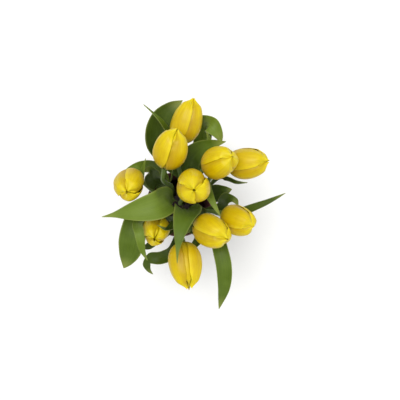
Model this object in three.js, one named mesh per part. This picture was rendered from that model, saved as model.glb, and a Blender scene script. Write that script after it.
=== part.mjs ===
// A bunch of ten yellow tulips standing in a round glazed stoneware vase.
//
// Millimetres, +Z up. The origin is the middle of the vase's foot, so the
// bunch stands on the plane z = 0. +Y points to the side where the longest
// bloom leans out, and +X is to the right of it.
//
// Each tulip is a stem, a cup of three outer petals, a cup of three inner
// petals and its own leaves, and every one of those is a closed solid. A
// bearing is an angle in degrees round +Z, measured from +X.

import * as THREE from "three";
import { ParametricGeometry } from "three/addons/geometries/ParametricGeometry.js";

const DEGREE = Math.PI / 180;

// The gap kept between pieces that touch on the real bunch.
const GAP = 0.3;

const VASE = {
  height: 190,
  footRadius: 36,
  bellyRadius: 51,
  bellyHeight: 82,
  neckRadius: 41,
  neckHeight: 160,
  rimRadius: 49,
  wall: 4,
  floor: 9,
  footBevel: 2,
  rings: 8,
  sides: 30,
};

// Each stem stands nearer the vase's axis on its floor than where it passes the
// rim, by the foot share, and is turned round it by the twist, so the stems lean
// past each other without touching. The bends are shares of the free length.
const STEM = {
  radius: 3.2,
  quarterSides: 2,
  steps: 14,
  footShare: 0.75,
  twist: 25,
  lowBend: 0.45,
  highBend: 0.24,
};

// A cup of three petals: where it is widest and where the clefts between its
// petals start, as shares of its length, how sharply it closes, and how much
// its rings crowd towards the base.
const CUP = {
  wall: 1.2,
  widestAt: 0.42,
  closing: 2.2,
  cleft: 0.68,
  crowding: 1.4,
  innerInset: 2.6,
  innerRise: 3,
  innerLength: 0.95,
  slices: 12,
  stacks: 12,
};

const LEAF = {
  thickness: 1.4,
  widest: 0.5,
  clasp: 0.9,
  taper: 0.9,
  steadiness: 0.3,
  channel: 0.3,
  slices: 8,
  stacks: 10,
};

// One entry per tulip: the middle of its bloom, how far the bloom nods from
// upright and to which bearing, its length and width, its mouth as a share of
// its width, how far its petals are turned, and the radius and bearing at which
// its stem passes the vase's rim.
const TULIPS = [
  {
    centre: [14, 105, 300], nod: 72, bearing: 73, length: 59, width: 39,
    mouth: 0.32, spin: 327, rim: [33, 84],
  },
  {
    centre: [-3, 67, 340], nod: 54, bearing: 68, length: 56, width: 41,
    mouth: 0.32, spin: 75, rim: [28, 112],
  },
  {
    centre: [54, 50, 335], nod: 34, bearing: 17, length: 53, width: 39,
    mouth: 0.42, spin: 0, rim: [33, 50],
  },
  {
    centre: [92, 53, 300], nod: 62, bearing: 4, length: 58, width: 42,
    mouth: 0.34, spin: 28, rim: [33, 20],
  },
  {
    centre: [23, 21, 352], nod: 10, bearing: 280, length: 54, width: 41,
    mouth: 0.5, spin: 335, rim: [2, 20],
  },
  {
    centre: [-55, 24, 322], nod: 22, bearing: 275, length: 56, width: 39,
    mouth: 0.4, spin: 40, rim: [33, 158],
  },
  {
    centre: [-25, -33, 292], nod: 20, bearing: 269, length: 52, width: 35,
    mouth: 0.4, spin: 10, rim: [33, 225],
  },
  {
    centre: [13, -75, 306], nod: 76, bearing: 279, length: 61, width: 43,
    mouth: 0.32, spin: 30, rim: [33, 270],
  },
  {
    centre: [46, -32, 318], nod: 44, bearing: 337, length: 57, width: 41,
    mouth: 0.38, spin: 352, rim: [21, 316],
  },
  {
    centre: [80, -20, 298], nod: 48, bearing: 338, length: 54, width: 39,
    mouth: 0.38, spin: 20, rim: [32, 345],
  },
];

// One entry per leaf: the number of its tulip, the height at which it leaves
// the stem, the points its midrib passes on the way to the tip and its greatest
// width. Some have their own widest place as a share of the length, clasp or
// taper (how fast the blade narrows to its base or tip) or roll in degrees about
// the midrib.
const LEAVES = [
  {
    tulip: 1, from: 196, width: 39, widest: 0.6,
    midrib: [[-18, 69, 225], [-22, 92, 262], [-13, 116, 285], [9, 133, 290]],
  },
  {
    tulip: 1, from: 205, width: 27, widest: 0.64,
    midrib: [[33, 82, 240], [36, 103, 270], [43, 103, 290], [52, 93, 293], [59, 79, 279]],
  },
  {
    tulip: 2, from: 225, width: 14, roll: 62,
    midrib: [[-2, 74, 266], [-12, 95, 292], [-25, 111, 305], [-40, 126, 300]],
  },
  {
    tulip: 2, from: 200, width: 17, clasp: 0.6,
    midrib: [[-25, 47, 230], [-36, 50, 264], [-48, 48, 283], [-62, 41, 281], [-73, 27, 263]],
  },
  {
    tulip: 3, from: 200, width: 30,
    midrib: [[17, 43, 232], [21, 62, 270], [38, 73, 298], [63, 78, 312]],
  },
  {
    tulip: 3, from: 215, width: 14,
    midrib: [[42, 70, 258], [43, 82, 285], [39, 93, 298]],
  },
  {
    tulip: 4, from: 225, width: 13, roll: 60,
    midrib: [[56, 38, 246], [67, 36, 262], [80, 30, 270], [94, 29, 264]],
  },
  {
    tulip: 4, from: 193, width: 25, widest: 0.6,
    midrib: [[45, 13, 207], [55, 16, 225], [63, 18, 235], [75, 21, 236]],
  },
  {
    tulip: 5, from: 215, width: 36, widest: 0.54, clasp: 2.4, taper: 1.5,
    midrib: [[-7, 7, 252], [-10, 8, 290], [-17, 1, 318], [-41, -6, 324], [-91, -15, 308]],
  },
  {
    tulip: 5, from: 200, width: 35, widest: 0.54, clasp: 2.6, taper: 1.8,
    midrib: [[11, -9, 240], [16, -7, 300], [12, -15, 330], [6, -40, 344], [4, -69, 336]],
  },
  {
    tulip: 5, from: 235, width: 15,
    midrib: [[35, 27, 290], [41, 16, 312], [46, 4, 322], [56, -14, 318]],
  },
  {
    tulip: 6, from: 200, width: 26,
    midrib: [[-24, 29, 222], [-31, 34, 255], [-32, 45, 286], [-42, 43, 296]],
  },
  {
    tulip: 6, from: 262, width: 7,
    midrib: [[-43, 36, 291], [-39, 48, 306], [-36, 57, 312]],
  },
  {
    tulip: 7, from: 200, width: 35, widest: 0.66, clasp: 1.7,
    midrib: [[-38, -5, 235], [-50, -16, 265], [-57, -42, 270], [-62, -63, 262], [-73, -87, 245]],
  },
  {
    tulip: 7, from: 252, width: 13, widest: 0.5,
    midrib: [[-42, -16, 280], [-47, -25, 302], [-43, -36, 313], [-41, -55, 305], [-36, -71, 290]],
  },
  {
    tulip: 7, from: 225, width: 11,
    midrib: [[-1, -20, 270], [-7, -30, 302], [-12, -29, 320], [-20, -24, 328]],
  },
  {
    tulip: 8, from: 196, width: 18,
    midrib: [[-8, -67, 228], [-24, -73, 244], [-39, -74, 243], [-42, -86, 236], [-35, -98, 225]],
  },
  {
    tulip: 8, from: 200, width: 16,
    midrib: [[-27, -44, 235], [-36, -55, 246], [-51, -61, 238]],
  },
  {
    tulip: 8, from: 205, width: 14,
    midrib: [[30, -40, 230], [28, -49, 256], [20, -58, 264], [12, -71, 262]],
  },
  {
    tulip: 9, from: 196, width: 21, widest: 0.6,
    midrib: [[50, -35, 240], [56, -53, 268], [62, -79, 272], [63, -107, 262], [57, -144, 238]],
  },
  {
    tulip: 9, from: 205, width: 14,
    midrib: [[27, -8, 235], [33, -13, 256], [24, -24, 266], [12, -40, 252]],
  },
  {
    tulip: 10, from: 200, width: 12,
    midrib: [[80, -13, 250], [94, -6, 272], [114, 2, 282], [129, 9, 284], [142, 15, 278]],
  },
  {
    tulip: 10, from: 196, width: 19, widest: 0.6,
    midrib: [[62, -4, 222], [66, 7, 252], [74, 9, 266], [82, -2, 262]],
  },
];

const glaze = new THREE.MeshStandardMaterial({ color: 0x5c3a3c, roughness: 0.28, metalness: 0 });
const petalYellow = new THREE.MeshStandardMaterial({ color: 0xe9cd28, roughness: 0.55, metalness: 0 });
const innerYellow = new THREE.MeshStandardMaterial({ color: 0xd6b51c, roughness: 0.55, metalness: 0 });
const stemGreen = new THREE.MeshStandardMaterial({ color: 0x7f9a4c, roughness: 0.5, metalness: 0 });
const leafGreen = new THREE.MeshStandardMaterial({ color: 0x5e7330, roughness: 0.5, metalness: 0 });

/** A point on a circle round the vase's axis. */
function polar(radius, bearing, height) {
  return new THREE.Vector3(
    radius * Math.cos(bearing * DEGREE),
    radius * Math.sin(bearing * DEGREE),
    height,
  );
}

/** A unit vector that nods from +Z towards a bearing. */
function nodding(nod, bearing) {
  return polar(Math.sin(nod * DEGREE), bearing, Math.cos(nod * DEGREE));
}

function addMesh(parent, name, geometry, material) {
  const mesh = new THREE.Mesh(geometry, material);
  mesh.name = name;
  parent.add(mesh);
  return mesh;
}

/** The vase: one turned wall with a thick foot and a rolled rim, open at the top. */
function vaseGeometry() {
  const side = new THREE.SplineCurve([
    new THREE.Vector2(VASE.footRadius, VASE.footBevel),
    new THREE.Vector2(VASE.bellyRadius, VASE.bellyHeight),
    new THREE.Vector2(VASE.neckRadius, VASE.neckHeight),
    new THREE.Vector2(VASE.rimRadius, VASE.height - VASE.wall / 2),
  ]).getPoints(VASE.rings);
  const inside = side
    .filter((point) => point.y > VASE.floor + VASE.wall)
    .map((point) => new THREE.Vector2(point.x - VASE.wall, point.y))
    .reverse();
  const profile = [
    new THREE.Vector2(0, 0),
    new THREE.Vector2(VASE.footRadius - VASE.footBevel, 0),
    ...side,
    new THREE.Vector2(VASE.rimRadius - VASE.wall / 2, VASE.height),
    ...inside,
    new THREE.Vector2(VASE.footRadius - VASE.wall, VASE.floor),
    new THREE.Vector2(0, VASE.floor),
  ];
  return new THREE.LatheGeometry(profile, VASE.sides).rotateX(Math.PI / 2);
}

/** Where a bloom starts, on top of its stem, and the way it points. */
function bloomSeat(tulip) {
  const axis = nodding(tulip.nod, tulip.bearing);
  const base = new THREE.Vector3(...tulip.centre).addScaledVector(axis, -tulip.length / 2);
  return { base, axis };
}

/** A stem's middle line: straight up through the vase, then bent over to meet its bloom. */
function stemPath(tulip) {
  const { base, axis } = bloomSeat(tulip);
  const [radius, bearing] = tulip.rim;
  const foot = polar(
    radius * STEM.footShare,
    bearing + STEM.twist,
    VASE.floor + GAP + STEM.radius / 2,
  );
  const rim = polar(radius, bearing, VASE.height);
  const end = base.clone().addScaledVector(axis, -GAP);
  const reach = rim.distanceTo(end);
  const rise = rim.clone().sub(foot).normalize();
  const path = new THREE.CurvePath();
  path.add(new THREE.LineCurve3(foot, rim));
  path.add(
    new THREE.CubicBezierCurve3(
      rim,
      rim.clone().addScaledVector(rise, reach * STEM.lowBend),
      end.clone().addScaledVector(axis, -reach * STEM.highBend),
      end,
    ),
  );
  return path;
}

function stemGeometry(tulip) {
  const section = new THREE.Shape();
  section.absarc(0, 0, STEM.radius, 0, 2 * Math.PI);
  return new THREE.ExtrudeGeometry(section, {
    steps: STEM.steps,
    curveSegments: 2 * STEM.quarterSides,
    extrudePath: stemPath(tulip),
  });
}

/** A closed bloom's radius at a height, both as shares of its greatest. */
function cupShape(height, mouth) {
  if (height < CUP.widestAt) {
    return Math.sqrt(1 - (1 - height / CUP.widestAt) ** 2);
  }
  const above = (height - CUP.widestAt) / (1 - CUP.widestAt);
  return 1 - (1 - mouth) * above ** CUP.closing;
}

/** A cup of three petals joined at the base, standing on the origin along +Z. */
function cupGeometry(radius, length, mouth) {
  const innerRim = 0.5 + 1 / CUP.stacks;
  return new ParametricGeometry(
    (u, v, target) => {
      const turn = 2 * Math.PI * u;
      const inside = v > 0.5;
      const along = inside ? Math.min(1, (1 - v) / (1 - innerRim)) : 2 * v;
      const top = CUP.cleft + (1 - CUP.cleft) * (0.5 + 0.5 * Math.cos(3 * turn));
      const height = top * along ** CUP.crowding;
      const wall = inside ? CUP.wall * Math.min(1, 4 * height) : 0;
      const spread = Math.max(0, radius * cupShape(height, mouth) - wall);
      const rise = inside ? CUP.wall * (1 - along) : 0;
      target.set(spread * Math.cos(turn), spread * Math.sin(turn), length * height + rise);
    },
    CUP.slices,
    CUP.stacks,
  );
}

/** A bloom as a group that stands on its stem: three outer petals round three inner ones. */
function bloom(tulip, number) {
  const { base, axis } = bloomSeat(tulip);
  const group = new THREE.Group();
  group.position.copy(base);
  group.quaternion
    .setFromUnitVectors(new THREE.Vector3(0, 0, 1), axis)
    .multiply(new THREE.Quaternion().setFromAxisAngle(new THREE.Vector3(0, 0, 1), tulip.spin * DEGREE));
  const radius = tulip.width / 2;
  addMesh(group, `outer_petals_${number}`, cupGeometry(radius, tulip.length, tulip.mouth), petalYellow);
  const innerRadius = radius - CUP.innerInset;
  const innerLength = tulip.length * CUP.innerLength - CUP.innerRise;
  const innerMouth = (radius * tulip.mouth - CUP.innerInset) / innerRadius;
  const inner = addMesh(
    group,
    `inner_petals_${number}`,
    cupGeometry(innerRadius, innerLength, innerMouth),
    innerYellow,
  );
  inner.position.z = CUP.innerRise;
  inner.rotation.z = Math.PI / 3;
  return group;
}

/** The point of a rising path at a height, found by halving. */
function pointAtHeight(path, height) {
  let low = 0;
  let high = 1;
  for (let step = 0; step < 24; step += 1) {
    const middle = (low + high) / 2;
    if (path.getPointAt(middle).z < height) low = middle;
    else high = middle;
  }
  return path.getPointAt(low);
}

/** A leaf's midrib, from beside its stem to its tip. */
function leafMidrib(leaf) {
  const stem = pointAtHeight(stemPath(TULIPS[leaf.tulip - 1]), leaf.from);
  const route = leaf.midrib.map((point) => new THREE.Vector3(...point));
  const away = route[0].clone().sub(stem).setZ(0).normalize();
  const base = stem.addScaledVector(away, STEM.radius + GAP + LEAF.thickness / 2);
  return new THREE.CatmullRomCurve3([base, ...route], false, "centripetal");
}

/** A leaf's width at a share of its length, as a share of its greatest. */
function bladeShare(leaf, share) {
  const widest = leaf.widest ?? LEAF.widest;
  const quarter = Math.PI / 2;
  if (share < widest) {
    return Math.sin((quarter * share) / widest) ** (leaf.clasp ?? LEAF.clasp);
  }
  const beyond = (share - widest) / (1 - widest);
  return Math.max(0, Math.cos(quarter * beyond)) ** (leaf.taper ?? LEAF.taper);
}

/** Splits the squares of a blade's under skin along the same diagonals as its upper skin's. */
function matchSkins(geometry) {
  const index = geometry.getIndex();
  const row = 6 * LEAF.slices;
  for (let start = 0; start < index.count; start += row) {
    for (let at = start + row / 2; at < start + row; at += 6) {
      const [a, b, d, c] = [0, 1, 2, 4].map((place) => index.getX(at + place));
      [a, b, c, a, c, d].forEach((corner, place) => index.setX(at + place, corner));
    }
  }
  return geometry;
}

/** A leaf: a thin blade with a channel along its midrib, closed at both ends. */
function leafGeometry(leaf) {
  const midrib = leafMidrib(leaf);
  const run = midrib.getPoint(1).sub(midrib.getPoint(0)).setZ(0).normalize();
  const roll = (leaf.roll ?? 0) * DEGREE;
  const geometry = new ParametricGeometry(
    (u, v, target) => {
      const turn = 2 * Math.PI * u;
      const along = midrib.getTangentAt(v);
      const heading = along.clone().setZ(0).addScaledVector(run, LEAF.steadiness);
      const across = new THREE.Vector3(-heading.y, heading.x, 0);
      across.addScaledVector(along, -across.dot(along)).normalize().applyAxisAngle(along, roll);
      const lift = along.clone().cross(across);
      const share = bladeShare(leaf, v);
      const half = (leaf.width / 2) * share;
      const skin = (LEAF.thickness / 2) * Math.sqrt(share);
      const fold = LEAF.channel * half * Math.cos(turn) ** 2;
      target
        .copy(midrib.getPointAt(v))
        .addScaledVector(across, half * Math.cos(turn))
        .addScaledVector(lift, fold + skin * Math.sin(turn));
    },
    LEAF.slices,
    LEAF.stacks,
  );
  return matchSkins(geometry);
}

const bunch = new THREE.Group();
bunch.name = "tulip_bunch";
addMesh(bunch, "vase", vaseGeometry(), glaze);

TULIPS.forEach((tulip, index) => {
  const number = String(index + 1).padStart(2, "0");
  addMesh(bunch, `stem_${number}`, stemGeometry(tulip), stemGreen);
  bunch.add(bloom(tulip, number));
  const own = LEAVES.filter((leaf) => leaf.tulip === index + 1);
  own.forEach((leaf, place) => {
    addMesh(bunch, `leaf_${number}${"abcd"[place]}`, leafGeometry(leaf), leafGreen);
  });
});

export default bunch;
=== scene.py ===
"""A bunch of ten yellow tulips in a plum-glazed vase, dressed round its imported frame.

The frame gives every place and size: each stem's line, each leaf's line, width and
channel, each bloom's seat, and the vase's profile. The visible pieces are modelled
here as blanks, copied, and bent to those lines. All lengths are in metres.
"""

import logging
import math
import random
from dataclasses import dataclass
from enum import Enum
from typing import Callable, Iterable, Sequence

import bmesh
import bpy
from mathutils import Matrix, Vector


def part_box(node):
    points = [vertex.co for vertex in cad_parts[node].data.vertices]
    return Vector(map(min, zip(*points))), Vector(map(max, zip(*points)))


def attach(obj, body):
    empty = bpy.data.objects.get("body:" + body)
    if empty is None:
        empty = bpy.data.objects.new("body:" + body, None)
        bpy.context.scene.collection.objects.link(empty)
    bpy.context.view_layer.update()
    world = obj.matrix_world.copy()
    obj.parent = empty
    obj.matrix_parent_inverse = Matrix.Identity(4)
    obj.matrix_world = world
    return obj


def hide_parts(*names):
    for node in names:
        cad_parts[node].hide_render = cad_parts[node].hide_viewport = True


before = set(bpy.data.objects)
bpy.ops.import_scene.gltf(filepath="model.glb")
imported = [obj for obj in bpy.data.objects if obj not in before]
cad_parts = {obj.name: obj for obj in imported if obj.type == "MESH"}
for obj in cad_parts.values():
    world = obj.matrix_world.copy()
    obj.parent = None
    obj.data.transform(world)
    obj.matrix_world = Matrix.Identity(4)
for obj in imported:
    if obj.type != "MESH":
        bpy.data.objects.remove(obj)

MM = 0.001
log = logging.getLogger("tulips")

Paint = tuple[int, int, int]


class Slot(Enum):
    """The record's material slots."""

    GLAZE = "vase_glaze"
    PETALS = "petals"
    STEMS = "stems"
    LEAVES = "leaves"


class LeafToneAndShade(Enum):
    """How a leaf reads among the others: partly its own green, partly painted shade for how deep it sits in
    the bunch.
    """

    DEEP = "deep"
    MIDDLE = "middle"
    PALE = "pale"


# The tones of the leaves that aren't deep. Each is partly the leaf's own green and partly painted shade: deep
# for leaves in shadow inside the bunch, pale for the lit ones.
LEAF_TONES_AND_SHADE: dict[str, LeafToneAndShade] = {
    "leaf_01b": LeafToneAndShade.PALE,
    "leaf_02a": LeafToneAndShade.MIDDLE,
    "leaf_02b": LeafToneAndShade.PALE,
    "leaf_03a": LeafToneAndShade.MIDDLE,
    "leaf_03b": LeafToneAndShade.PALE,
    "leaf_05a": LeafToneAndShade.PALE,
    "leaf_05b": LeafToneAndShade.MIDDLE,
    "leaf_05c": LeafToneAndShade.PALE,
    "leaf_06b": LeafToneAndShade.PALE,
    "leaf_07a": LeafToneAndShade.MIDDLE,
    "leaf_07b": LeafToneAndShade.PALE,
    "leaf_09a": LeafToneAndShade.MIDDLE,
}


# ---------------------------------------------------------------- small geometry


def blend(points: Sequence[Vector], share: float) -> Vector:
    """A point on the smooth curve through evenly spaced points.

    Args:
        points: The points the curve passes.
        share: How far along it, from 0 to 1.

    Returns:
        The point, by the Catmull-Rom rule with mirrored ends.
    """
    place = min(max(share, 0.0), 1.0) * (len(points) - 1)
    index = min(int(place), len(points) - 2)
    t = place - index
    here, after = points[index], points[index + 1]
    before = points[index - 1] if index > 0 else 2 * here - after
    beyond = points[index + 2] if index + 2 < len(points) else 2 * after - here
    return 0.5 * (
        2 * here
        + (after - before) * t
        + (2 * before - 5 * here + 4 * after - beyond) * t**2
        + (3 * here - before - 3 * after + beyond) * t**3
    )


def smooth(edge_low: float, edge_high: float, value: float) -> float:
    """A smooth step from 0 at one edge to 1 at the other."""
    t = min(max((value - edge_low) / (edge_high - edge_low), 0.0), 1.0)
    return t * t * (3 - 2 * t)


def rings(node: str, first_depth: float) -> list[list[Vector]]:
    """A frame node's corners, ring by ring from its lowest end.

    Args:
        node: The node's name.
        first_depth: How far above the lowest corner the first ring reaches.

    Returns:
        Each ring as a list of places.
    """
    shell = bmesh.new()
    shell.from_mesh(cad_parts[node].data)
    bmesh.ops.remove_doubles(shell, verts=shell.verts, dist=0.005 * MM)
    shell.verts.index_update()
    floor = min(v.co.z for v in shell.verts)
    layer = {v for v in shell.verts if v.co.z <= floor + first_depth}
    seen: set = set()
    found: list[list[Vector]] = []
    while layer:
        found.append([v.co.copy() for v in sorted(layer, key=lambda v: v.index)])
        seen |= layer
        layer = {e.other_vert(v) for v in layer for e in v.link_edges} - seen
    shell.free()
    return found


def middle(places: Iterable[Vector]) -> Vector:
    """The mean of some places."""
    listed = list(places)
    return sum(listed, Vector()) / len(listed)


# ---------------------------------------------------------------- modelling helpers


def start_clean() -> None:
    """Leaves edit mode and deselects everything."""
    if bpy.context.object and bpy.context.object.mode != "OBJECT":
        bpy.ops.object.mode_set(mode="OBJECT")
    bpy.ops.object.select_all(action="DESELECT")


def take(piece: bpy.types.Object) -> None:
    """Makes one piece the only selected and active one.

    Args:
        piece: The piece.
    """
    start_clean()
    piece.select_set(True)
    bpy.context.view_layer.objects.active = piece


def named(name: str) -> bpy.types.Object:
    """Names the primitive that was just added, and its mesh.

    Args:
        name: The new name.

    Returns:
        The primitive.
    """
    piece = bpy.context.object
    piece.name = name
    piece.data.name = name
    return piece


def pick(piece: bpy.types.Object, wanted: Callable[[Vector], bool]) -> None:
    """Selects a piece's corners by place, in edit mode.

    Args:
        piece: The piece, which is in edit mode.
        wanted: True for the place of a corner to select.
    """
    bpy.ops.mesh.select_all(action="DESELECT")
    shell = bmesh.from_edit_mesh(piece.data)
    for corner in shell.verts:
        corner.select_set(wanted(corner.co))
    shell.select_flush(True)
    bmesh.update_edit_mesh(piece.data)


def add_modifier(piece: bpy.types.Object, kind: str, **settings: object) -> None:
    """Adds one modifier and applies it at once.

    Args:
        piece: The piece it works on.
        kind: The modifier's type.
        **settings: Its settings by name.
    """
    take(piece)
    modifier = piece.modifiers.new(kind.lower(), kind)
    for key, value in settings.items():
        setattr(modifier, key, value)
    bpy.ops.object.modifier_apply(modifier=modifier.name)


def copy_of(blank: bpy.types.Object, name: str) -> bpy.types.Object:
    """A copy of a blank with its own mesh.

    Args:
        blank: The blank.
        name: The copy's name.

    Returns:
        The copy.
    """
    piece = blank.copy()
    piece.data = blank.data.copy()
    piece.name = name
    piece.data.name = name
    bpy.context.scene.collection.objects.link(piece)
    return piece


def reshape(piece: bpy.types.Object, moved: Callable[[Vector], Vector]) -> None:
    """Moves every corner of a piece.

    Args:
        piece: The piece.
        moved: The new place for each old one.
    """
    for corner in piece.data.vertices:
        corner.co = moved(corner.co)
    piece.data.update()


def smooth_shaded(piece: bpy.types.Object, angle: float = 60.0) -> None:
    """Shades a piece smooth, but for edges sharper than an angle in degrees."""
    take(piece)
    bpy.ops.object.shade_smooth_by_angle(angle=math.radians(angle))


def settle(
    piece: bpy.types.Object,
    material: bpy.types.Material,
    slot: Slot,
    replaced: Sequence[str] = (),
) -> None:
    """Gives a finished piece its material and its body.

    Args:
        piece: The finished piece.
        material: Its finish.
        slot: The record's slot that the finish stands for; not used.
        replaced: The frame nodes that the piece stands for.
    """
    piece.data.materials.clear()
    piece.data.materials.append(material)
    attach(piece, "root")
    if replaced:
        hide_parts(*replaced)


def discard(blank: bpy.types.Object) -> None:
    """Removes a blank once its copies are made."""
    bpy.data.meshes.remove(blank.data)


# ---------------------------------------------------------------- material helpers


def linear(red: int, green: int, blue: int) -> tuple[float, float, float, float]:
    """A display colour, 0 to 255, as the linear colour that a shader takes."""

    def one(value: int) -> float:
        """One channel of it."""
        share = value / 255
        return share / 12.92 if share <= 0.04045 else ((share + 0.055) / 1.055) ** 2.4

    return (one(red), one(green), one(blue), 1.0)


class Graph:
    """A node tree that is written from left to right."""

    def __init__(self, tree: bpy.types.NodeTree) -> None:
        """Starts on a node tree that is already there."""
        self.tree = tree

    def add(self, kind: str, settings: dict | None = None, **inputs: object) -> bpy.types.Node:
        """Adds a node and fills its inputs.

        Args:
            kind: The node's type, without the ShaderNode in front.
            settings: The node's own settings.
            **inputs: Values or sockets by input name, with _ for a space, or i0, i1
                and so on for an input by its number.

        Returns:
            The node.
        """
        node = self.tree.nodes.new("ShaderNode" + kind)
        for key, value in (settings or {}).items():
            setattr(node, key, value)
        for key, value in inputs.items():
            if key[0] == "i" and key[1:].isdigit():
                socket = node.inputs[int(key[1:])]
            else:
                socket = node.inputs[key.replace("_", " ")]
            if isinstance(value, bpy.types.NodeSocket):
                self.tree.links.new(value, socket)
            else:
                socket.default_value = value
        return node

    def math(self, operation: str, *values: object) -> bpy.types.NodeSocket:
        """One Math node's result, from numbers or sockets."""
        inputs = {f"i{place}": value for place, value in enumerate(values)}
        return self.add("Math", {"operation": operation}, **inputs).outputs[0]

    def mix(self, share: object, first: object, second: object) -> bpy.types.NodeSocket:
        """A colour between two, by a share from 0 to 1."""
        node = self.add("Mix", {"data_type": "RGBA"}, i0=share, i6=first, i7=second)
        return node.outputs[2]

    def spread(self, value: object, low: float, high: float) -> bpy.types.NodeSocket:
        """A value stretched so that low becomes 0 and high becomes 1, and cut there."""
        node = self.add("MapRange", {"clamp": True}, i0=value, i1=low, i2=high)
        return node.outputs[0]


def group(name: str, inputs: Sequence[tuple[str, str]], outputs: Sequence[tuple[str, str]]) -> Graph:
    """Starts a shared effect as a node group.

    Args:
        name: The group's name.
        inputs: Name and socket type of each input.
        outputs: Name and socket type of each output.

    Returns:
        The group's tree, holding its input node and output node.
    """
    tree = bpy.data.node_groups.new(name, "ShaderNodeTree")
    for label, kind in inputs:
        tree.interface.new_socket(label, in_out="INPUT", socket_type="NodeSocket" + kind)
    for label, kind in outputs:
        tree.interface.new_socket(label, in_out="OUTPUT", socket_type="NodeSocket" + kind)
    tree.nodes.new("NodeGroupInput")
    tree.nodes.new("NodeGroupOutput")
    return Graph(tree)


def ends(graph: Graph) -> tuple[bpy.types.Node, bpy.types.Node]:
    """A group's input node and output node."""
    return graph.tree.nodes["Group Input"], graph.tree.nodes["Group Output"]


def veins_group() -> bpy.types.NodeTree:
    """Fine veins that run the length of a petal, a blade or a stem.

    Returns:
        A group from a surface coordinate, a count across and a stretch along to a
        mask of the veins and their height.
    """
    graph = group(
        "lengthwise_veins",
        [("Surface", "Vector"), ("Count", "Float"), ("Waver", "Float")],
        [("Mask", "Float"), ("Height", "Float")],
    )
    source, sink = ends(graph)
    parts = graph.add("SeparateXYZ", i0=source.outputs["Surface"])
    across = graph.math("MULTIPLY", parts.outputs[0], source.outputs["Count"])
    along = graph.math("MULTIPLY", parts.outputs[1], source.outputs["Waver"])
    place = graph.add("CombineXYZ", i0=across, i1=along, i2=parts.outputs[2])
    coarse = graph.add("TexNoise", Vector=place.outputs[0], Scale=1.0, Detail=3.0, Roughness=0.6)
    mask = graph.spread(coarse.outputs[0], 0.38, 0.66)
    graph.tree.links.new(mask, sink.inputs["Mask"])
    graph.tree.links.new(coarse.outputs[0], sink.inputs["Height"])
    return graph.tree


def mottle_group() -> bpy.types.NodeTree:
    """Broad soft patches over a surface.

    Returns:
        A group from a place and a size of patch to a mask.
    """
    graph = group("soft_patches", [("Place", "Vector"), ("Scale", "Float")], [("Mask", "Float")])
    source, sink = ends(graph)
    noise = graph.add(
        "TexNoise",
        Vector=source.outputs["Place"],
        Scale=source.outputs["Scale"],
        Detail=4.0,
        Roughness=0.55,
    )
    graph.tree.links.new(graph.spread(noise.outputs[0], 0.35, 0.65), sink.inputs["Mask"])
    return graph.tree


def margin_group() -> bpy.types.NodeTree:
    """A band along the two side edges of a petal or a blade.

    Returns:
        A group from a surface coordinate to a mask that is 1 on the edges.
    """
    graph = group("side_margin", [("Surface", "Vector"), ("Start", "Float")], [("Mask", "Float")])
    source, sink = ends(graph)
    across = graph.add("SeparateXYZ", i0=source.outputs["Surface"]).outputs[0]
    off = graph.math("ABSOLUTE", graph.math("MULTIPLY_ADD", across, 2.0, -1.0))
    node = graph.add("MapRange", {"clamp": True}, i0=off, i1=source.outputs["Start"], i2=1.0)
    graph.tree.links.new(node.outputs[0], sink.inputs["Mask"])
    return graph.tree


@dataclass(frozen=True)
class Effects:
    """The shared node groups."""

    veins: bpy.types.NodeTree
    patches: bpy.types.NodeTree
    margin: bpy.types.NodeTree


def shared_effects() -> Effects:
    """Builds every shared effect once."""
    return Effects(veins_group(), mottle_group(), margin_group())


def new_material(name: str) -> tuple[Graph, bpy.types.Material, bpy.types.Node]:
    """A material with its Principled shader.

    Args:
        name: The material's name.

    Returns:
        Its graph, the material and the shader node.
    """
    material = bpy.data.materials.new(name)
    material.use_nodes = True
    return Graph(material.node_tree), material, material.node_tree.nodes["Principled BSDF"]


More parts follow.
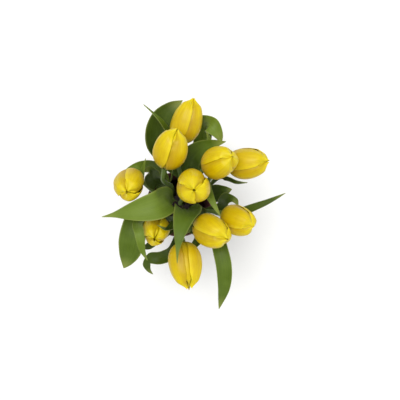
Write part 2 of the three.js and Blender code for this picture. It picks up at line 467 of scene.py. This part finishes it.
@dataclass(frozen=True)
class PetalFinish:
    """Waxy yellow petal: painted shade towards its foot and along the lapped seam, veined, with a painted
    highlight and orange flecks on its margins and tip.
    """

    name: str = "petal_yellow"
    body: Paint = (224, 200, 0)
    # Painted shade: the darker yellow towards the petal's foot.
    low: Paint = (198, 166, 0)
    deep: Paint = (184, 150, 0)
    foot: Paint = (172, 164, 44)
    # Painted highlight: the lighter yellow on the margins and tips.
    pale: Paint = (246, 228, 36)
    fleck: Paint = (222, 150, 16)
    # Painted shade: the darker yellow along the lapped seam.
    seam_shade: Paint = (160, 118, 0)

    def build(self, effects: Effects) -> bpy.types.Material:
        """Makes the material.

        Args:
            effects: The shared node groups.

        Returns:
            The material.
        """
        graph, material, shader = new_material(self.name)
        surface = graph.add("UVMap", {"uv_map": "UVMap"}).outputs[0]
        place = graph.add("TexCoord").outputs["Object"]
        across, along = graph.add("SeparateXYZ", i0=surface).outputs[:2]
        veins = graph.add("Group", {"node_tree": effects.veins}, Surface=surface, Count=46.0, Waver=2.2)
        patches = graph.add("Group", {"node_tree": effects.patches}, Place=place, Scale=90.0)
        margin = graph.add("Group", {"node_tree": effects.margin}, Surface=surface, Start=0.7)
        # Painted shade: the low yellow at the petal's foot rises to the body yellow higher up, broken by soft
        # patches.
        rise = graph.math("MULTIPLY_ADD", patches.outputs["Mask"], 0.25, along)
        body = graph.mix(graph.spread(rise, 0.25, 0.95), linear(*self.low), linear(*self.body))
        veined = graph.math("MULTIPLY", veins.outputs["Mask"], 0.45)
        body = graph.mix(veined, body, linear(*self.deep))
        # Painted highlight: pale yellow along the side margins, fading in from the foot, and over the tip.
        edge = graph.math("MULTIPLY", margin.outputs["Mask"], graph.spread(along, 0.1, 0.6))
        edge = graph.math("MAXIMUM", edge, graph.spread(along, 0.8, 1.0))
        body = graph.mix(graph.math("MULTIPLY", edge, 0.6), body, linear(*self.pale))
        # The orange flecks are the petal's own flush, laid on the same margin and tip mask.
        specks = graph.add("TexNoise", Vector=place, Scale=420.0, Detail=2.0)
        flecked = graph.math("MULTIPLY", graph.spread(specks.outputs[0], 0.64, 0.72), edge)
        body = graph.mix(graph.math("MULTIPLY", flecked, 0.8), body, linear(*self.fleck))
        # Painted shade: the darker seam yellow on the tucked side of each petal, next to the seam.
        under = graph.math("MULTIPLY", graph.spread(across, 0.3, 0.08), 0.55)
        body = graph.mix(under, body, linear(*self.seam_shade))
        foot = graph.spread(along, 0.2, 0.02)
        body = graph.mix(graph.math("MULTIPLY", foot, 0.75), body, linear(*self.foot))
        graph.tree.links.new(body, shader.inputs["Base Color"])
        rough = graph.add("MapRange", i0=veins.outputs["Mask"], i3=0.4, i4=0.52)
        graph.tree.links.new(rough.outputs[0], shader.inputs["Roughness"])
        bump = graph.add("Bump", Strength=0.35, Distance=0.6 * MM, Height=veins.outputs["Height"])
        graph.tree.links.new(bump.outputs[0], shader.inputs["Normal"])
        shader.inputs["Specular IOR Level"].default_value = 0.3
        shader.inputs["Subsurface Weight"].default_value = 0.2
        shader.inputs["Subsurface Radius"].default_value = (1.0, 0.8, 0.2)
        shader.inputs["Subsurface Scale"].default_value = 1.5 * MM
        return material


@dataclass(frozen=True)
class LeafFinish:
    """Waxy leaf: parallel veins, painted shade darker towards the foot, a paler margin, a yellowing tip."""

    name: str
    body: Paint
    # The deep green serves both the veins and the painted shade at the foot.
    deep: Paint
    bloom: Paint
    tip: Paint = (150, 158, 78)

    def build(self, effects: Effects) -> bpy.types.Material:
        """Makes the material.

        Args:
            effects: The shared node groups.

        Returns:
            The material.
        """
        graph, material, shader = new_material(self.name)
        surface = graph.add("UVMap", {"uv_map": "UVMap"}).outputs[0]
        place = graph.add("TexCoord").outputs["Object"]
        along = graph.add("SeparateXYZ", i0=surface).outputs[1]
        veins = graph.add("Group", {"node_tree": effects.veins}, Surface=surface, Count=34.0, Waver=0.8)
        patches = graph.add("Group", {"node_tree": effects.patches}, Place=place, Scale=45.0)
        margin = graph.add("Group", {"node_tree": effects.margin}, Surface=surface, Start=0.86)
        # Painted shade: the blade darkens towards its foot, mixed with the deep green that the veins use.
        shaded = graph.math("MULTIPLY", graph.spread(along, 0.75, 0.2), 0.5)
        veined = graph.math("MULTIPLY_ADD", veins.outputs["Mask"], 0.5, shaded)
        body = graph.mix(veined, linear(*self.body), linear(*self.deep))
        waxed = graph.math("MULTIPLY", patches.outputs["Mask"], 0.5)
        body = graph.mix(waxed, body, linear(*self.bloom))
        ends_pale = graph.spread(along, 0.86, 1.0)
        edge = graph.math("MULTIPLY", margin.outputs["Mask"], 0.6)
        pale = graph.math("MAXIMUM", graph.math("MULTIPLY", ends_pale, 0.7), edge)
        body = graph.mix(pale, body, linear(*self.tip))
        graph.tree.links.new(body, shader.inputs["Base Color"])
        rough = graph.add("MapRange", i0=patches.outputs["Mask"], i3=0.42, i4=0.56)
        graph.tree.links.new(rough.outputs[0], shader.inputs["Roughness"])
        bump = graph.add("Bump", Strength=0.5, Distance=0.7 * MM, Height=veins.outputs["Height"])
        graph.tree.links.new(bump.outputs[0], shader.inputs["Normal"])
        shader.inputs["Specular IOR Level"].default_value = 0.25
        return material


@dataclass(frozen=True)
class StemFinish:
    """Green stem with faint lengthwise streaks; its greens are partly its own colour and partly painted
    shade, set darker for the inside of the bunch.
    """

    name: str = "stem_green"
    # Painted shade: both greens are darker than a lit stem, so the stems read dark inside the bunch.
    body: Paint = (112, 136, 62)
    deep: Paint = (74, 98, 42)

    def build(self, effects: Effects) -> bpy.types.Material:
        """Makes the material.

        Args:
            effects: The shared node groups.

        Returns:
            The material.
        """
        graph, material, shader = new_material(self.name)
        surface = graph.add("UVMap", {"uv_map": "UVMap"}).outputs[0]
        place = graph.add("TexCoord").outputs["Object"]
        veins = graph.add("Group", {"node_tree": effects.veins}, Surface=surface, Count=22.0, Waver=3.0)
        patches = graph.add("Group", {"node_tree": effects.patches}, Place=place, Scale=60.0)
        share = graph.math("MULTIPLY", veins.outputs["Mask"], patches.outputs["Mask"])
        body = graph.mix(share, linear(*self.body), linear(*self.deep))
        graph.tree.links.new(body, shader.inputs["Base Color"])
        rough = graph.add("MapRange", i0=patches.outputs["Mask"], i3=0.38, i4=0.52)
        graph.tree.links.new(rough.outputs[0], shader.inputs["Roughness"])
        bump = graph.add("Bump", Strength=0.3, Distance=0.4 * MM, Height=veins.outputs["Height"])
        graph.tree.links.new(bump.outputs[0], shader.inputs["Normal"])
        shader.inputs["Subsurface Weight"].default_value = 0.1
        shader.inputs["Subsurface Radius"].default_value = (0.5, 1.0, 0.2)
        shader.inputs["Subsurface Scale"].default_value = 1.5 * MM
        return material


@dataclass(frozen=True)
class GlazeFinish:
    """Plum stoneware glaze: throwing rings, pooled patches and a bare clay foot."""

    name: str = "plum_glaze"
    body: Paint = (92, 52, 58)
    pooled: Paint = (54, 32, 42)
    broken: Paint = (116, 74, 64)
    clay: Paint = (158, 126, 98)
    foot_height: float = 5 * MM
    lip_depth: float = 7 * MM

    def build(self, effects: Effects) -> bpy.types.Material:
        """Makes the material.

        Args:
            effects: The shared node groups.

        Returns:
            The material.
        """
        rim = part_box("vase")[1][2]
        graph, material, shader = new_material(self.name)
        place = graph.add("TexCoord").outputs["Object"]
        height = graph.add("SeparateXYZ", i0=place).outputs[2]
        patches = graph.add("Group", {"node_tree": effects.patches}, Place=place, Scale=38.0)
        specks = graph.add("TexNoise", Vector=place, Scale=900.0, Detail=2.0)
        ring_place = graph.math("MULTIPLY", height, 900.0)
        rings_noise = graph.add("TexNoise", {"noise_dimensions": "1D"}, W=ring_place, Scale=1.0, Detail=2.0)
        body = graph.mix(patches.outputs["Mask"], linear(*self.body), linear(*self.pooled))
        speck = graph.math("MULTIPLY", graph.spread(specks.outputs[0], 0.62, 0.7), 0.6)
        body = graph.mix(speck, body, linear(*self.broken))
        lip = graph.spread(height, rim - self.lip_depth, rim)
        body = graph.mix(graph.math("MULTIPLY", lip, 0.6), body, linear(*self.broken))
        wander = graph.math("MULTIPLY", patches.outputs["Mask"], 1.5 * MM)
        bare = graph.spread(graph.math("ADD", height, wander), self.foot_height, self.foot_height - 0.6 * MM)
        body = graph.mix(bare, body, linear(*self.clay))
        graph.tree.links.new(body, shader.inputs["Base Color"])
        glossy = graph.add("MapRange", i0=patches.outputs["Mask"], i3=0.34, i4=0.46)
        rough = graph.math("MAXIMUM", glossy.outputs[0], graph.math("MULTIPLY", bare, 0.85))
        graph.tree.links.new(rough, shader.inputs["Roughness"])
        relief = graph.math("MULTIPLY_ADD", specks.outputs[0], 0.1, rings_noise.outputs[0])
        bump = graph.add("Bump", Strength=0.4, Distance=0.5 * MM, Height=relief)
        graph.tree.links.new(bump.outputs[0], shader.inputs["Normal"])
        shader.inputs["Specular IOR Level"].default_value = 0.3
        return material


# ---------------------------------------------------------------- the vase


@dataclass
class Vase:
    """A turned stoneware vase, extruded ring by ring up its outside and down its inside."""

    sides: int = 64

    def profile(self) -> list[tuple[float, float]]:
        """Reads the vase's outline from its frame node.

        Returns:
            Pairs of radius and height, up the outside and then down the inside.
        """
        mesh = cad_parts["vase"].data
        spots = {(round(math.hypot(v.co.x, v.co.y), 5), round(v.co.z, 5)) for v in mesh.vertices}
        by_height: dict[float, list[float]] = {}
        for radius, height in spots:
            by_height.setdefault(height, []).append(radius)
        heights = sorted(by_height)
        outside = [(max(by_height[h]), h) for h in heights if max(by_height[h]) > 0]
        inside = [(min(r for r in by_height[h] if r > 0), h) for h in heights]
        inside = [spot for spot in inside if spot not in outside]
        return outside + inside[::-1]

    def build(self, material: bpy.types.Material) -> bpy.types.Object:
        """Models the vase.

        Args:
            material: Its glaze.

        Returns:
            The finished vase.
        """
        profile = self.profile()
        start_clean()
        radius, height = profile[0]
        bpy.ops.mesh.primitive_circle_add(
            vertices=self.sides, radius=radius, fill_type="NGON", location=(0, 0, height)
        )
        piece = named("stoneware_vase")
        bpy.ops.object.transform_apply(location=True, rotation=False, scale=False)
        bpy.ops.object.mode_set(mode="EDIT")
        bpy.ops.mesh.select_all(action="SELECT")
        bpy.ops.mesh.inset(thickness=radius * 0.5)
        pick(piece, lambda co: math.hypot(co.x, co.y) > radius * 0.9)
        for next_radius, next_height in profile[1:]:
            bpy.ops.mesh.extrude_edges_move(
                TRANSFORM_OT_translate={"value": (0, 0, next_height - height)}
            )
            share = next_radius / radius
            bpy.ops.transform.resize(value=(share, share, 1), center_override=(0, 0, next_height))
            radius, height = next_radius, next_height
        bpy.ops.mesh.edge_face_add()
        bpy.ops.mesh.inset(thickness=radius * 0.5)
        bpy.ops.mesh.select_all(action="SELECT")
        bpy.ops.mesh.normals_make_consistent(inside=False)
        bpy.ops.object.mode_set(mode="OBJECT")
        add_modifier(piece, "SUBSURF", levels=2, render_levels=2)
        smooth_shaded(piece, 80)
        settle(piece, material, Slot.GLAZE, ["vase"])
        return piece


# ---------------------------------------------------------------- stems


@dataclass
class Stems:
    """Round stems: one straight blank, bent along each stem's line in the frame."""

    sides: int = 14
    steps: int = 44
    swelling: float = 0.45

    def blank(self) -> bpy.types.Object:
        """Draws a straight tube up from a filled circle.

        Returns:
            A tube of radius 1 and height 1.
        """
        start_clean()
        bpy.ops.mesh.primitive_circle_add(vertices=self.sides, radius=1, fill_type="NGON", calc_uvs=True)
        piece = named("stem_blank")
        bpy.ops.object.mode_set(mode="EDIT")
        bpy.ops.mesh.select_all(action="SELECT")
        for _ in range(self.steps):
            bpy.ops.mesh.extrude_region_move(
                TRANSFORM_OT_translate={"value": (0, 0, 1 / self.steps)}
            )
        bpy.ops.mesh.select_all(action="SELECT")
        bpy.ops.mesh.normals_make_consistent(inside=False)
        bpy.ops.object.mode_set(mode="OBJECT")
        self.unwrap(piece)
        return piece

    def unwrap(self, piece: bpy.types.Object) -> None:
        """Lays the tube's surface flat: turn across, height along.

        Args:
            piece: The straight blank.
        """
        layer = piece.data.uv_layers.active.data
        for face in piece.data.polygons:
            turn_of_face = math.atan2(face.center.y, face.center.x)
            for loop in face.loop_indices:
                place = piece.data.vertices[piece.data.loops[loop].vertex_index].co
                turn = math.atan2(place.y, place.x)
                if turn_of_face - turn > math.pi:
                    turn += 2 * math.pi
                elif turn - turn_of_face > math.pi:
                    turn -= 2 * math.pi
                layer[loop].uv = (turn / (2 * math.pi) + 0.5, place.z)

    def build(self, numbers: Sequence[int], material: bpy.types.Material) -> list[bpy.types.Object]:
        """Bends a copy of the blank along each stem's line.

        Args:
            numbers: The tulips' numbers.
            material: The stems' finish.

        Returns:
            The stems.
        """
        blank = self.blank()
        made = []
        for number in numbers:
            node = f"stem_{number:02d}"
            loops = rings(node, 2.5 * MM)
            line = [middle(ring) for ring in loops]
            radius = max((corner - line[0]).length for corner in loops[0])
            piece = copy_of(blank, f"stem_{number:02d}_round")
            self.bend(piece, line, radius)
            smooth_shaded(piece)
            settle(piece, material, Slot.STEMS, [node])
            made.append(piece)
        discard(blank)
        return made

    def bend(self, piece: bpy.types.Object, line: list[Vector], radius: float) -> None:
        """Bends a straight tube along a line, with a swelling under the bloom.

        Args:
            piece: The straight tube.
            line: The places the stem's middle passes.
            radius: The stem's radius.
        """
        frames: dict[float, tuple[Vector, Vector, Vector]] = {}
        side = Vector((1, 0, 0))
        for step in range(self.steps + 1):
            share = step / self.steps
            along = (blend(line, share + 0.01) - blend(line, share - 0.01)).normalized()
            side = (side - along * side.dot(along)).normalized()
            frames[round(share, 4)] = (blend(line, share), side.copy(), along.cross(side))

        def moved(place: Vector) -> Vector:
            """Where a corner of the straight tube goes."""
            centre, first, second = frames[round(place.z, 4)]
            thick = radius * (1 - 0.1 * place.z + self.swelling * smooth(0.955, 1.0, place.z))
            return centre + thick * (first * place.x + second * place.y)

        reshape(piece, moved)


# ---------------------------------------------------------------- leaves


@dataclass
class Leaves:
    """Leaf blades: one flat strip, bent along each leaf's line in the frame."""

    columns: int = 12
    rows: int = 44
    thickness: float = 0.9 * MM
    crease: float = 0.35 * MM
    least_half_width: float = 0.35 * MM
    ripple: float = 0.07
    seed: int = 7

    def blank(self) -> bpy.types.Object:
        """Makes a flat strip with a creased midrib.

        Returns:
            A strip from x = -1 to 1 and from y = 0 to 1.
        """
        start_clean()
        bpy.ops.mesh.primitive_grid_add(
            x_subdivisions=self.columns, y_subdivisions=self.rows, size=1, calc_uvs=True
        )
        piece = named("leaf_blank")
        bpy.ops.object.mode_set(mode="EDIT")
        bpy.ops.mesh.select_all(action="SELECT")
        bpy.ops.transform.translate(value=(0, 0.5, 0))
        bpy.ops.transform.resize(value=(2, 1, 1), center_override=(0, 0, 0))
        pick(piece, lambda co: abs(co.x) < 0.5 / self.columns)
        bpy.ops.transform.translate(value=(0, 0, -self.crease))
        bpy.ops.object.mode_set(mode="OBJECT")
        add_modifier(piece, "SOLIDIFY", thickness=self.thickness, offset=0.0)
        return piece

    def line_of(self, node: str) -> tuple[list[Vector], list[Vector], list[Vector]]:
        """A frame leaf's keel places, half widths as vectors, and margin lifts.

        Args:
            node: The leaf's node name.

        Returns:
            Three lists, ring by ring from the stem to the tip.
        """
        keels, halves, lifts = [], [], []
        for ring in rings(node, 0.0):
            if len(ring) < 4:
                keels.append(middle(ring))
                halves.append(Vector())
                lifts.append(Vector())
                continue
            pair = max(
                ((a, b) for i, a in enumerate(ring) for b in ring[i + 1 :]),
                key=lambda two: (two[0] - two[1]).length,
            )
            half = (pair[0] - pair[1]) / 2
            margin = (pair[0] + pair[1]) / 2
            inner = sorted(ring, key=lambda co: abs((co - margin).dot(half)))[:2]
            keel = middle(inner)
            if len(halves) > 1 and half.dot(halves[-1]) < 0:
                half = -half
            keels.append(keel)
            halves.append(half)
            lifts.append(margin - keel)
        halves[0] = halves[1].normalized() * self.least_half_width
        halves[-1] = halves[-2].normalized() * self.least_half_width
        return keels, halves, lifts

    def build(self, nodes: Sequence[str], finishes: dict[LeafToneAndShade, bpy.types.Material]) -> list[bpy.types.Object]:
        """Bends a copy of the strip along each leaf's line.

        Args:
            nodes: The leaves' node names.
            finishes: The material for each tone.

        Returns:
            The leaves.
        """
        blank = self.blank()
        chance = random.Random(self.seed)
        made = []
        for node in nodes:
            piece = copy_of(blank, node + "_blade")
            self.bend(piece, node, chance)
            add_modifier(piece, "SUBSURF", levels=1, render_levels=1)
            smooth_shaded(piece)
            # The tone carries painted shade as well as the leaf's own green.
            finish = finishes[LEAF_TONES_AND_SHADE.get(node, LeafToneAndShade.DEEP)]
            settle(piece, finish, Slot.LEAVES, [node])
            made.append(piece)
        discard(blank)
        return made

    def bend(self, piece: bpy.types.Object, node: str, chance: random.Random) -> None:
        """Bends a strip along a frame leaf, and ripples its margins a little.

        Args:
            piece: The flat strip.
            node: The leaf's node name.
            chance: The source of its ripples.
        """
        keels, halves, lifts = self.line_of(node)
        waves = chance.uniform(2.0, 3.6)
        start = chance.uniform(0, 2 * math.pi)
        lean = chance.choice((-1, 1))

        def moved(place: Vector) -> Vector:
            """Where a corner of the flat strip goes."""
            share = min(max(place.y, 0.0), 1.0)
            half = blend(halves, share)
            lift = blend(lifts, share)
            along = blend(keels, share + 0.01) - blend(keels, share - 0.01)
            normal = along.cross(half).normalized()
            if normal.dot(lift) < 0:
                normal = -normal
            swing = math.sin(2 * math.pi * waves * share + start + lean * place.x)
            ripple = self.ripple * half.length * swing * abs(place.x) ** 2
            return (
                blend(keels, share)
                + half * place.x
                + lift * place.x**2
                + normal * (place.z + ripple)
            )

        reshape(piece, moved)


# ---------------------------------------------------------------- blooms


@dataclass
class Seat:
    """Where a bloom stands and how big it is, read from its outer cup in the frame."""

    base: Vector
    axis: Vector
    side: Vector
    length: float
    radius: float
    mouth: float

    @classmethod
    def of(cls, node: str) -> "Seat":
        """Reads a bloom's seat from its outer cup.

        Args:
            node: The outer cup's node name.

        Returns:
            The seat, with its side towards the tip of one outer petal.
        """
        shell = bmesh.new()
        shell.from_mesh(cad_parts[node].data)
        bmesh.ops.remove_doubles(shell, verts=shell.verts, dist=0.005 * MM)
        poles = sorted(shell.verts, key=lambda v: -len(v.link_edges))[:2]
        centre = middle(v.co for v in shell.verts)
        base, inner = sorted((v.co.copy() for v in poles), key=lambda co: -(co - centre).length)
        axis = (inner - base).normalized()
        spots = [(co.dot(axis), (co - axis * co.dot(axis))) for co in (v.co - base for v in shell.verts)]
        shell.free()
        length, tip = max(spots, key=lambda spot: (round(spot[0], 5), spot[1].length))
        radius = max(out.length for _, out in spots)
        return cls(base, axis, tip.normalized(), length, radius, tip.length / radius)

    def place(self, turn: float, out: float, up: float) -> Vector:
        """A place in the bloom, by its turn from the side, its radius and its height."""
        across = self.axis.cross(self.side)
        return self.base + self.axis * up + (self.side * math.cos(turn) + across * math.sin(turn)) * out


@dataclass(frozen=True)
class Whorl:
    """One ring of three petals: how it sits in the bloom."""

    label: str
    turn: float
    inset: float
    length_share: float
    half_turn: float
    tip_gap: float = 0.0


OUTER = Whorl("outer", 0.0, 0.0, 1.0, math.radians(66), tip_gap=0.34)
INNER = Whorl("inner", math.radians(60), 4.6 * MM, 0.95, math.radians(60))

# How far a tulip's petals part, from 0 to 1. The tulips that aren't named stay shut.
PARTED: dict[int, float] = {1: 0.2, 2: 0.2, 4: 0.25, 5: 0.15, 6: 0.3, 7: 0.6, 8: 0.9, 9: 0.1}


@dataclass(frozen=True)
class Chance:
    """The small differences of one bloom."""

    squash: float
    squash_turn: float
    drift: Vector

    @classmethod
    def draw(cls, source: random.Random) -> "Chance":
        """Draws one bloom's differences from a seeded source."""
        drift = Vector([source.uniform(-1, 1) for _ in range(3)]) * 1.6 * MM
        return cls(source.uniform(0.0, 0.04), source.uniform(0, math.pi), drift)


@dataclass
class Blooms:
    """Tulip blooms of six petals each, closed over with their tips together."""

    columns: int = 18
    rows: int = 28
    thickness: float = 0.6 * MM
    widest_at: float = 0.42
    closing: float = 2.2
    overlap: float = 0.5 * MM
    tuck: float = 1.0 * MM
    groove: float = 0.11
    keel: float = 0.6 * MM
    curl: float = 0.2 * MM
    ribs: float = 0.14 * MM
    ruffle: float = 0.9 * MM
    shoulder: float = 0.1
    rise: float = 1.35
    fold_from: float = 0.87
    tip_fold: float = 0.84
    edge_fold: float = 0.14
    rib_turn: float = 13.0
    ruffle_turn: float = 27.0
    least_radius: float = 0.15 * MM
    parting: float = math.radians(14)
    seed: int = 23

    def outline(self, share: float) -> float:
        """A petal's turn at a share of its length, as a share of its greatest."""
        return 0.8 + 0.2 * smooth(0.0, 0.3, share) - 0.25 * smooth(0.7, 1.0, share)

    def blank(self) -> bpy.types.Object:
        """Makes a flat petal with its outline.

        Returns:
            A petal from x = -1 to 1 at its widest, and from y = 0 to 1.
        """
        start_clean()
        bpy.ops.mesh.primitive_grid_add(
            x_subdivisions=self.columns, y_subdivisions=self.rows, size=1, calc_uvs=True
        )
        piece = named("petal_blank")
        bpy.ops.object.mode_set(mode="EDIT")
        bpy.ops.mesh.select_all(action="SELECT")
        bpy.ops.transform.translate(value=(0, 0.5, 0))
        bpy.ops.transform.resize(value=(2, 1, 1), center_override=(0, 0, 0))
        for row in range(self.rows + 1):
            share = row / self.rows
            pick(piece, lambda co: abs(co.y - share) < 0.25 / self.rows)
            width = self.outline(share)
            bpy.ops.transform.resize(value=(width, 1, 1), center_override=(0, share, 0))
        bpy.ops.object.mode_set(mode="OBJECT")
        add_modifier(piece, "SOLIDIFY", thickness=self.thickness, offset=0.0)
        return piece

    def cup(self, share: float, mouth: float) -> float:
        """The line of a closed bloom from its base to its tip.

        Args:
            share: The height, from 0 to 1.
            mouth: The frame cup's mouth, as a share of its greatest radius.

        Returns:
            The radius there, as a share of the greatest.
        """
        if share < self.widest_at:
            return math.sqrt(max(0.0, 1 - (1 - share / self.widest_at) ** 2))
        above = min(1.0, (share - self.widest_at) / (1 - self.widest_at))
        return 1 - (1 - mouth) * above**self.closing

    def petal(
        self, blank: bpy.types.Object, name: str, seat: Seat, whorl: Whorl, part: float, turn: float,
        bloom: Chance, chance: random.Random,
    ) -> bpy.types.Object:
        """Wraps a copy of the flat petal round its bloom.

        Args:
            blank: The flat petal.
            name: The new petal's name.
            seat: The bloom's seat.
            whorl: The ring it belongs to.
            part: How far the bloom's petals part, from 0 to 1.
            turn: The turn of its middle from the bloom's side.
            bloom: The bloom's own differences.
            chance: The source of the petal's.

        Returns:
            The petal.
        """
        piece = copy_of(blank, name)
        length = seat.length * whorl.length_share * chance.uniform(0.97, 1.0)
        half_turn = whorl.half_turn - self.parting * part
        turned = turn + math.radians(chance.uniform(-4, 4))
        lean = chance.uniform(-0.1, 0.1)
        tips = chance.uniform(-0.01, 0.06)
        fold = self.tip_fold - whorl.tip_gap * part
        phase = chance.uniform(0, 2 * math.pi)

        def moved(place: Vector) -> Vector:
            """Where a corner of the flat petal goes."""
            share = min(max(place.y, 0.0), 1.0)
            height = 1 - (1 - share) ** self.rise
            wrap = place.x * half_turn * (1 - 0.3 * part * smooth(0.55, 1.0, share))
            facing = turned + wrap + lean * height**2
            out = (seat.radius - whorl.inset) * self.cup(height, seat.mouth)
            grown = smooth(0.05, 0.4, share)
            off = abs(place.x)
            out *= 1 - self.groove * off**2 * grown
            out *= 1 - bloom.squash * (1 + math.cos(2 * (facing - bloom.squash_turn)))
            out += self.overlap * place.x * grown
            out -= self.tuck * smooth(0.3, 1.0, -place.x) * grown
            out += self.curl * smooth(0.8, 1.0, place.x) * grown
            out += self.keel * (1 - smooth(0.0, 0.35, off)) * grown
            out += self.ribs * math.cos(self.rib_turn * place.x + phase) * grown
            out += seat.radius * tips * smooth(0.8, 1.0, share)
            edge = off**3 * smooth(0.3, 0.9, share)
            out += self.ruffle * edge * math.sin(self.ruffle_turn * share + phase + 2 * place.x)
            out *= 1 - smooth(self.fold_from, 1.0, height) * (fold + self.edge_fold * off)
            out = max(out + place.z, self.least_radius)
            up = length * height * (1 - self.shoulder * off**2 * smooth(0.5, 1.0, share))
            return seat.place(facing, out, up) + bloom.drift * height**2

        reshape(piece, moved)
        add_modifier(piece, "SUBSURF", levels=1, render_levels=1)
        smooth_shaded(piece)
        return piece

    def build(self, numbers: Sequence[int], finish: bpy.types.Material) -> list[bpy.types.Object]:
        """Builds every bloom.

        Args:
            numbers: The tulips' numbers.
            finish: The petals' material.

        Returns:
            The petals.
        """
        blank = self.blank()
        chance = random.Random(self.seed)
        made = []
        for number in numbers:
            seat = Seat.of(f"outer_petals_{number:02d}")
            part = PARTED.get(number, 0.0)
            bloom = Chance.draw(chance)
            for whorl in (OUTER, INNER):
                node = f"{whorl.label}_petals_{number:02d}"
                for place in range(3):
                    turn = whorl.turn + place * math.radians(120)
                    name = f"petal_{number:02d}_{whorl.label}_{place + 1}"
                    piece = self.petal(blank, name, seat, whorl, part, turn, bloom, chance)
                    settle(piece, finish, Slot.PETALS, [node])
                    made.append(piece)
        discard(blank)
        return made


# ---------------------------------------------------------------- the studio


@dataclass(frozen=True)
class Lamp:
    """A square soft light: where it hangs, its side and its power in watts."""

    name: str
    place: tuple[float, float, float]
    size: float
    watts: float


KEY = Lamp("key_light", (-0.35, 0.5, 4.0), 1.8, 104.0)
SIDE = Lamp("side_light", (1.8, -0.6, 2.2), 1.4, 10.0)


@dataclass
class Studio:
    """A pale floor, soft overhead light and a camera that looks straight down."""

    camera_place: tuple[float, float, float] = (0.031, 0.006, 0.944)
    lens: float = 46.2
    sensor: float = 36.0
    lit_place: tuple[float, float, float] = (0.02, 0.0, 0.25)
    sky_strength: float = 0.53
    floor_size: float = 6.0
    floor_depth: float = 0.2 * MM
    floor_paint: Paint = (250, 250, 248)

    def floor(self) -> None:
        """Lays the floor, a little under the vase's foot."""
        start_clean()
        bpy.ops.mesh.primitive_plane_add(size=self.floor_size, location=(0, 0, -self.floor_depth))
        sheet = named("studio_floor")
        _, material, shader = new_material("pale_floor")
        shader.inputs["Base Color"].default_value = linear(*self.floor_paint)
        shader.inputs["Roughness"].default_value = 0.9
        shader.inputs["Specular IOR Level"].default_value = 0.1
        sheet.data.materials.append(material)

    def hang(self, lamp: Lamp) -> None:
        """Hangs a square soft light that looks at the middle of the bunch.

        Args:
            lamp: The light.
        """
        data = bpy.data.lights.new(lamp.name, "AREA")
        data.size = lamp.size
        data.energy = lamp.watts
        light = bpy.data.objects.new(lamp.name, data)
        bpy.context.scene.collection.objects.link(light)
        light.location = lamp.place
        aim = Vector(self.lit_place) - Vector(lamp.place)
        light.rotation_euler = aim.to_track_quat("-Z", "Y").to_euler()

    def sky(self) -> None:
        """Fills the surroundings with even white light."""
        world = bpy.data.worlds.new("studio_world")
        world.use_nodes = True
        background = world.node_tree.nodes["Background"]
        background.inputs["Color"].default_value = linear(255, 255, 255)
        background.inputs["Strength"].default_value = self.sky_strength
        bpy.context.scene.world = world

    def camera(self) -> None:
        """Sets the camera above the bunch, with +Y at the top of the picture."""
        data = bpy.data.cameras.new("overhead_camera")
        data.lens = self.lens
        data.sensor_width = self.sensor
        camera = bpy.data.objects.new("overhead_camera", data)
        bpy.context.scene.collection.objects.link(camera)
        camera.location = self.camera_place
        bpy.context.scene.camera = camera
        bpy.context.scene.view_settings.view_transform = "Standard"

    def build(self) -> None:
        """Sets up the whole studio."""
        self.camera()
        self.floor()
        for lamp in (KEY, SIDE):
            self.hang(lamp)
        self.sky()


# ---------------------------------------------------------------- the whole bunch


def main() -> None:
    """Builds the studio, the vase and every tulip, and reports each piece."""
    logging.basicConfig(level=logging.INFO, format="%(name)s: %(message)s")
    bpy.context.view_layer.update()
    Studio().build()
    effects = shared_effects()
    leaf_nodes = sorted(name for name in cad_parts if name.startswith("leaf_"))
    numbers = sorted(int(name[-2:]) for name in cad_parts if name.startswith("stem_"))
    # The three leaf greens are partly the leaves' own colour and partly painted shade, darkest for the deep
    # tone.
    finishes = {
        LeafToneAndShade.DEEP: LeafFinish("leaf_deep_shaded", (66, 84, 14), (44, 60, 6), (78, 98, 30)).build(effects),
        LeafToneAndShade.MIDDLE: LeafFinish("leaf_middle_half_shaded", (84, 106, 20), (60, 80, 10), (96, 118, 40)).build(effects),
        LeafToneAndShade.PALE: LeafFinish("leaf_pale_lit", (106, 128, 36), (78, 100, 18), (116, 136, 56)).build(effects),
    }
    vase = Vase().build(GlazeFinish().build(effects))
    stems = Stems().build(numbers, StemFinish().build(effects))
    leaves = Leaves().build(leaf_nodes, finishes)
    blooms = Blooms().build(numbers, PetalFinish().build(effects))
    for piece in [vase, *stems, *leaves, *blooms]:
        log.info("%s: %d faces", piece.name, len(piece.data.polygons))


if __name__ == "__main__":
    main()
